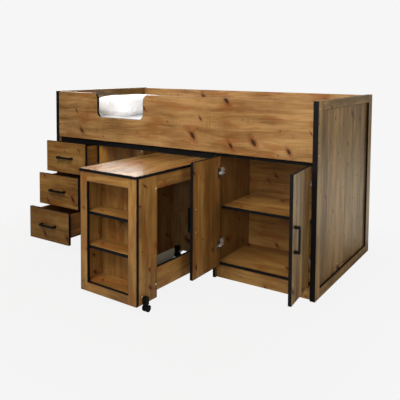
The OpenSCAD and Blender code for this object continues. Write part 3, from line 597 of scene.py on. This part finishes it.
# an L along each lower edge of a drawer box: under the side, and a little way up it
def makeSlideProfiles():
    for level in ("top", "middle", "bottom"):
        low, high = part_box("drawer_%s_box" % level)
        form = bmesh.new()
        for edge, way in ((low.x, 1), (high.x, -1)):
            near, far = edge - way * slideProfile["thick"], edge + way * slideProfile["wide"]
            outline = [(near, low.z - slideProfile["under"]), (far, low.z - slideProfile["under"]),
                       (far, low.z), (edge, low.z), (edge, low.z + slideProfile["up"]),
                       (near, low.z + slideProfile["up"])]
            ends = [[form.verts.new((px, py, pz)) for px, pz in outline] for py in (low.y, high.y)]
            for i in range(len(outline)):
                j = (i + 1) % len(outline)
                form.faces.new((ends[0][i], ends[0][j], ends[1][j], ends[1][i]))
            form.faces.new(list(reversed(ends[0])))
            form.faces.new(ends[1])
        bmesh.ops.recalc_face_normals(form, faces=form.faces)
        mesh = bpy.data.meshes.new("slideProfile")
        form.to_mesh(mesh)
        form.free()
        makeObject("slides_drawer_" + level, mesh, slideBlack, "drawer_" + level)


makeHandleScrews()
makeSlideProfiles()
print("screws and slide profiles made")


# the bedding

def clothMaterial(name, tone, threadsPerMetre, sheen):
    made = Maker(name, Roughness=0.9, Sheen_Weight=sheen, Specular_IOR_Level=0.25)
    px, py, pz = made.split(made.place)
    lift = made.math("MULTIPLY", pz, threadsPerMetre * 0.7)
    turns = threadsPerMetre * 2 * math.pi
    warp = made.math("SINE", made.math("MULTIPLY", px, turns))
    weft = made.math("SINE", made.math("ADD", made.math("MULTIPLY", py, turns), lift))
    weave = made.math("MULTIPLY_ADD", made.math("MULTIPLY", warp, weft), 0.5, 0.5)
    cloud = made.noise(made.place, 7.0, 3.0)
    slub = made.noise(made.join(made.math("MULTIPLY", px, 40.0), made.math("MULTIPLY", py, 900.0), pz),
                      1.0, 2.0)
    mixed = made.math("MULTIPLY_ADD", slub, 0.35, made.math("MULTIPLY", cloud, 0.65))
    made.colour(made.ramp(mixed, [(0.3, tuple(c * 0.94 for c in tone)), (0.7, tone)]))
    made.bump(made.math("MULTIPLY_ADD", slub, 0.5, weave), 0.18, 0.0004)
    return made.material


mattressCloth = clothMaterial("mattressCloth", (0.83, 0.83, 0.82), 900.0, 0.15)
pillowCloth = clothMaterial("pillowCloth", (0.95, 0.95, 0.945), 1300.0, 0.2)
pipingCloth = clothMaterial("pipingCloth", (0.78, 0.78, 0.77), 1600.0, 0.1)


def finalMesh(holder):
    return bpy.data.meshes.new_from_object(holder.evaluated_get(bpy.context.evaluated_depsgraph_get()))


clothWork = {
    "quality": 5,
    "mass": 0.4,
    "stretchStiffness": 18,
    "bendStiffness": 0.6,
    "frames": 20,
}


# inflates a closed mesh as cloth; no point moves further than the cap
def inflate(mesh, voxel, pressure, cap):
    holder = bpy.data.objects.new("clothWork", mesh)
    bpy.context.scene.collection.objects.link(holder)
    bpy.context.view_layer.objects.active = holder
    remesh = holder.modifiers.new("remesh", "REMESH")
    remesh.mode, remesh.voxel_size = "VOXEL", voxel
    even = finalMesh(holder)
    holder.modifiers.clear()
    holder.data = even
    start = [v.co.copy() for v in even.vertices]
    cloth = holder.modifiers.new("cloth", "CLOTH")
    cloth.settings.quality, cloth.settings.mass = clothWork["quality"], clothWork["mass"]
    cloth.settings.use_pressure = True
    cloth.settings.uniform_pressure_force = pressure
    cloth.settings.tension_stiffness = clothWork["stretchStiffness"]
    cloth.settings.compression_stiffness = clothWork["stretchStiffness"]
    cloth.settings.bending_stiffness = clothWork["bendStiffness"]
    cloth.settings.effector_weights.gravity = 0
    cloth.point_cache.frame_start, cloth.point_cache.frame_end = 1, clothWork["frames"]
    for number in range(1, clothWork["frames"] + 1):
        bpy.context.scene.frame_set(number)
    done = finalMesh(holder)
    bpy.context.scene.frame_set(1)
    holder.modifiers.clear()
    for vertex, before in zip(done.vertices, start):
        move = vertex.co - before
        if move.length > cap:
            move *= cap / move.length
        vertex.co = before + move
    holder.data = done
    result = holder.data
    bpy.data.objects.remove(holder)
    return result


# a closed skin over rings of points
def skinMesh(name, rings):
    form = bmesh.new()
    made = [[form.verts.new(p) for p in ring] for ring in rings]
    for lower, upper in zip(made, made[1:]):
        for i in range(len(lower)):
            j = (i + 1) % len(lower)
            form.faces.new((lower[i], lower[j], upper[j], upper[i]))
    form.faces.new(list(reversed(made[0])))
    form.faces.new(made[-1])
    bmesh.ops.recalc_face_normals(form, faces=form.faces)
    mesh = bpy.data.meshes.new(name)
    form.to_mesh(mesh)
    form.free()
    return mesh


def roundRing(centre, length, width, radius, height, perCorner=10):
    ring = []
    for corner, (sx, sy) in enumerate(((1, 1), (-1, 1), (-1, -1), (1, -1))):
        for i in range(perCorner + 1):
            a = math.pi / 2 * (corner + i / perCorner)
            ring.append(Vector((centre.x + sx * (length / 2 - radius) + radius * math.cos(a),
                                centre.y + sy * (width / 2 - radius) + radius * math.sin(a), height)))
    return ring


def addPiping(name, ring, radius, body, material):
    curve = bpy.data.curves.new(name, "CURVE")
    curve.dimensions = "3D"
    curve.bevel_depth, curve.bevel_resolution = radius, 3
    line = curve.splines.new("POLY")
    line.points.add(len(ring) - 1)
    for point, spot in zip(line.points, ring):
        point.co = (*spot, 1)
    line.use_cyclic_u = True
    holder = bpy.data.objects.new(name + "Work", curve)
    bpy.context.scene.collection.objects.link(holder)
    mesh = finalMesh(holder)
    bpy.data.objects.remove(holder)
    smoothAll(mesh)
    mesh.materials.clear()
    return makeObject(name, mesh, material, body)


mattress = {
    "corner": 0.070,
    "inset": 0.010,
    "profile": [(0.09, 0.02), (0.020, 0.035), (0.008, 0.10), (0.012, 0.3), (0.012, 0.65),
                (0.008, 0.83), (0.020, 0.90), (0.09, 0.935)],      # how far in, and share of the height
    "quiltPitch": 0.115,
    "quiltDepth": 0.0045,
    "quiltLift": 0.005,
    "quiltFade": 0.08,      # the quilting dies away over this width
    "quiltMargin": 0.09,
    "seam": 0.11,           # width of a seam, as a share of the pitch
    "voxel": 0.012,
    "pressure": 3.0,
    "swell": 0.010,
    "pipingPlaces": (("low", 0.13), ("high", 0.80)),
    "pipingRadius": 0.0042,
}


def makeMattress():
    low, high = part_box("mattress")
    centre, length, width = (low + high) / 2, high.x - low.x, high.y - low.y
    tall = high.z - low.z
    rings = []
    for shrink, share in mattress["profile"]:
        less = 2 * (shrink + mattress["inset"])
        rings.append(roundRing(centre, length - less, width - less, mattress["corner"],
                               low.z + tall * share))
    body = inflate(skinMesh("mattressForm", rings), mattress["voxel"], mattress["pressure"],
                   mattress["swell"])
    # seat the underside, keep the crown under the top and sew the quilting in
    step, fade = mattress["quiltPitch"], mattress["quiltFade"]
    reachX, reachY = length / 2 - mattress["quiltMargin"], width / 2 - mattress["quiltMargin"]
    for vertex in body.vertices:
        p = vertex.co
        if p.z < low.z + 0.004:
            p.z = low.z + 0.0005
        if p.z > centre.z + tall * 0.25:
            dx, dy = p.x - centre.x, p.y - centre.y
            inner = (min(1.0, max(0.0, (reachX - abs(dx)) / fade))
                     * min(1.0, max(0.0, (reachY - abs(dy)) / fade)))
            a, b = (dx + dy) / step, (dx - dy) / step
            seam = min(abs(a - round(a)), abs(b - round(b)))
            sewn = mattress["quiltDepth"] * math.exp(-(seam / mattress["seam"]) ** 2)
            p.z += inner * (mattress["quiltLift"] - sewn)
        p.z = min(p.z, high.z)
    smoothAll(body)
    made = makeObject("mattress_body", body, mattressCloth, "bed")
    finer = made.modifiers.new("finer", "SUBSURF")
    finer.levels = finer.render_levels = 1
    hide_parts("mattress")
    for label, share in mattress["pipingPlaces"]:
        ring = roundRing(centre, length - 0.004, width - 0.004, mattress["corner"] + 0.008,
                         low.z + tall * share)
        addPiping("mattress_piping_" + label, ring, mattress["pipingRadius"], "bed",
                  pipingCloth)


pillow = {
    "voxel": 0.0065,
    "rise": [(0.70, 0.02), (0.87, 0.05), (0.955, 0.14), (0.985, 0.25), (0.965, 0.37), (0.90, 0.52),
             (0.80, 0.66), (0.66, 0.77), (0.46, 0.84), (0.22, 0.87)],
    "pinch": 0.055,         # how much the sides draw in between the corners
    "square": 7,            # a higher power gives squarer corners
    "crease": 0.0055,
    "fineCrease": 0.0016,
    "pressure": 4.0,
    "swell": 0.020,
}


def pillowOutline(centre, length, width, share, height, count=72):
    ring = []
    for i in range(count):
        a = 2 * math.pi * i / count
        c, s = math.cos(a), math.sin(a)
        fill = (abs(c) ** pillow["square"] + abs(s) ** pillow["square"]) ** (-1 / pillow["square"])
        pinched = 1 - pillow["pinch"] * share * share * math.cos(2 * a) ** 2
        ring.append(Vector((centre.x + width / 2 * share * c * fill * pinched,
                            centre.y + length / 2 * share * s * fill * pinched, height)))
    return ring


def makePillow():
    low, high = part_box("pillow")
    centre, tall = (low + high) / 2, high.z - low.z
    width, length = high.x - low.x, high.y - low.y
    rings = [pillowOutline(centre, length - 0.006, width - 0.006, share, low.z + tall * up)
             for share, up in pillow["rise"]]
    body = inflate(skinMesh("pillowForm", rings), pillow["voxel"], pillow["pressure"], pillow["swell"])
    for vertex in body.vertices:
        p = vertex.co
        far = max(abs(p.x - centre.x) / (width / 2), abs(p.y - centre.y) / (length / 2))
        # soft creases that run in from the corners and the seam
        crease = noise.noise(Vector((p.x * 9, p.y * 7, p.z * 3))) * pillow["crease"]
        fine = noise.noise(Vector((p.x * 30 + 5, p.y * 24, p.z * 8))) * pillow["fineCrease"]
        if p.z > low.z + tall * 0.2:
            p.z += (crease + fine) * min(1.0, 0.45 + far * 0.5)
        p.z = min(max(p.z, low.z + 0.0003), high.z)
    smoothAll(body)
    made = makeObject("pillow_body", body, pillowCloth, "bed")
    finer = made.modifiers.new("finer", "SUBSURF")
    finer.levels = finer.render_levels = 1
    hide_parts("pillow")


makeMattress()
print("mattress made")
makePillow()
print("pillow made")


# room: floor, light and world

room = {
    "paper": (0.922, 0.922, 0.922),
    "floorSize": 40.0,
    "shade": 0.05,          # how much of the floor's own light and shade the camera sees
    "bayShade": 0.97,       # the same, on the floor in the desk's bay
    "bay": (0.80, 0.991, -0.12, 0.38),      # the floor along the desk's left panel
    "bayLean": 0.2,
    "baySoft": 0.045,
    "bayEdge": 0.009,
    # painted shade: the floor's own colour in the desk's bay, dark and yellowish
    "bayPaintedShade": (0.190, 0.160, 0.072),
    "tone": (0.345, 0.330, 0.285),
    "ambient": 0.30,
    "mirroredFrom": (2.1, 1.2),     # boards mirror the paper past these, in X or in Y
    "mirroredPaper": (0.86, 0.83, 0.70),
    "mirroredFront": (0.100, 0.092, 0.066),
    "mirroredBehind": (0.400, 0.380, 0.310),
}


def makeFloor():
    form = bmesh.new()
    half = room["floorSize"] / 2
    bmesh.ops.create_grid(form, x_segments=8, y_segments=8, size=half)
    mesh = bpy.data.meshes.new("studioFloor")
    form.to_mesh(mesh)
    form.free()
    floor = bpy.data.objects.new("studioFloor", mesh)
    floor.location = (0, 0, -0.0005)
    bpy.context.scene.collection.objects.link(floor)
    made = Maker("studioPaper", Roughness=0.9, Specular_IOR_Level=0.1)
    grain = made.noise(made.place, 60.0, 2.0)
    tone = room["tone"]
    plain = made.ramp(grain, [(0.3, tuple(c * 0.97 for c in tone)), (0.7, tone)])
    glow = made.add("ShaderNodeEmission")
    path = made.add("ShaderNodeLightPath")
    made.feed(glow.inputs["Color"], made.mixColour(path.outputs["Is Glossy Ray"], (*room["paper"], 1),
                                                   (*room["mirroredPaper"], 1)))
    px, py, pz = made.split(made.place)

    def within(x0, x1, y0, y1, soft, right, lean=0.0):
        leaning = made.math("MULTIPLY_ADD", py, lean, px)
        sides = (made.smooth(px, x0 - soft, x0 + soft), made.smooth(leaning, x1 + right, x1 - right),
                 made.smooth(py, y0 - soft, y0 + soft), made.smooth(py, y1 + soft, y1 - soft))
        return made.math("MULTIPLY", made.math("MULTIPLY", sides[0], sides[1]),
                         made.math("MULTIPLY", sides[2], sides[3]))

    # the camera sees paper with a faint shade, and the full shade in the desk's bay;
    # polished boards mirror the paper only to the right of the bed and behind it
    near = within(-0.6, 2.3, -1.3, 1.3, 0.5, 0.5)
    bay = within(*room["bay"], room["baySoft"], room["bayEdge"], room["bayLean"])
    # painted shade: in the desk's bay the floor's own colour is made dark and yellowish, on top of the
    # real shade the camera sees there
    made.colour(made.mixColour(bay, plain, (*room["bayPaintedShade"], 1)))
    shade = made.math("MAXIMUM", made.math("MULTIPLY", near, room["shade"]),
                      made.math("MULTIPLY", bay, room["bayShade"]))
    direct = made.math("MAXIMUM", path.outputs["Is Camera Ray"], path.outputs["Is Transmission Ray"])
    behind = made.math("MAXIMUM", made.math("GREATER_THAN", px, room["mirroredFrom"][0]),
                       made.math("GREATER_THAN", py, room["mirroredFrom"][1]))
    fade = made.math("MULTIPLY", made.math("MULTIPLY_ADD", made.smooth(py, 2.6, 7.0), -0.75, 1.0),
                     made.math("MULTIPLY_ADD", made.smooth(py, 0.5, 2.2), 0.8, 0.2))
    mirrored = made.math("MULTIPLY", made.math("MULTIPLY", path.outputs["Is Glossy Ray"], behind),
                         fade)
    share = made.math("MAXIMUM", made.math("MULTIPLY", direct, made.math("SUBTRACT", 1.0, shade)),
                      mirrored)
    mix = made.add("ShaderNodeMixShader")
    made.feed(mix.inputs[0], share)
    made.feed(mix.inputs[1], made.shader.outputs[0])
    made.feed(mix.inputs[2], glow.outputs[0])
    made.feed(made.tree.nodes["Material Output"].inputs["Surface"], mix.outputs[0])
    mesh.materials.append(made.material)


def makeWorld():
    world = bpy.data.worlds.new("studio")
    bpy.context.scene.world = world
    world.use_nodes = True
    tree = world.node_tree
    back = tree.nodes["Background"]
    path = tree.nodes.new("ShaderNodeLightPath")

    def choose(share, colourA, colourB):
        mix = tree.nodes.new("ShaderNodeMix")
        mix.data_type = "RGBA"
        tree.links.new(share, mix.inputs[0])
        for socket, colour in ((mix.inputs[6], colourA), (mix.inputs[7], colourB)):
            if isinstance(colour, bpy.types.NodeSocket):
                tree.links.new(colour, socket)
            else:
                socket.default_value = (*colour, 1)
        return mix.outputs[2]

    # polished boards mirror a pale wall behind the bed and a darker room in front of it
    place = tree.nodes.new("ShaderNodeTexCoord")
    axes = tree.nodes.new("ShaderNodeSeparateXYZ")
    tree.links.new(place.outputs["Generated"], axes.inputs[0])
    turn = tree.nodes.new("ShaderNodeMapRange")
    turn.inputs[1].default_value, turn.inputs[2].default_value = -0.35, 0.35
    tree.links.new(axes.outputs[1], turn.inputs[0])
    mirrored = choose(turn.outputs[0], room["mirroredFront"], room["mirroredBehind"])
    soft = choose(path.outputs["Is Glossy Ray"], (room["ambient"],) * 3, mirrored)
    tree.links.new(choose(path.outputs["Is Camera Ray"], soft, room["paper"]), back.inputs["Color"])
    back.inputs["Strength"].default_value = 1.0


lamps = {
    "key": {"place": (1.30, -2.1, 2.55), "aim": (1.05, 0.0, 0.80), "size": 1.5, "power": 70},
    "fill": {"place": (2.9, -3.0, 1.35), "aim": (1.2, 0.0, 0.5), "size": 1.6, "power": 32},
    "side": {"place": (4.3, -0.7, 1.2), "aim": (1.9, 0.4, 0.5), "size": 1.5, "power": 27},
    "bay": {"place": (0.55, 0.72, 0.72), "aim": (0.10, 1.0, 0.48), "size": 0.3, "power": 0.9},
    "back": {"place": (-1.15, 1.65, 2.35), "aim": (0.95, -0.5, 0.7), "size": 1.2, "power": 82},
}


def makeLamps():
    for name, lamp in lamps.items():
        data = bpy.data.lights.new(name, "AREA")
        data.shape, data.size, data.energy = "SQUARE", lamp["size"], lamp["power"]
        holder = bpy.data.objects.new(name, data)
        bpy.context.scene.collection.objects.link(holder)
        holder.location = lamp["place"]
        holder.visible_camera = False
        ahead = Vector(lamp["aim"]) - Vector(lamp["place"])
        holder.rotation_euler = ahead.to_track_quat("-Z", "Y").to_euler()


makeFloor()
makeWorld()
makeLamps()
bpy.context.scene.view_settings.view_transform = "Standard"
print("room and lamps made")
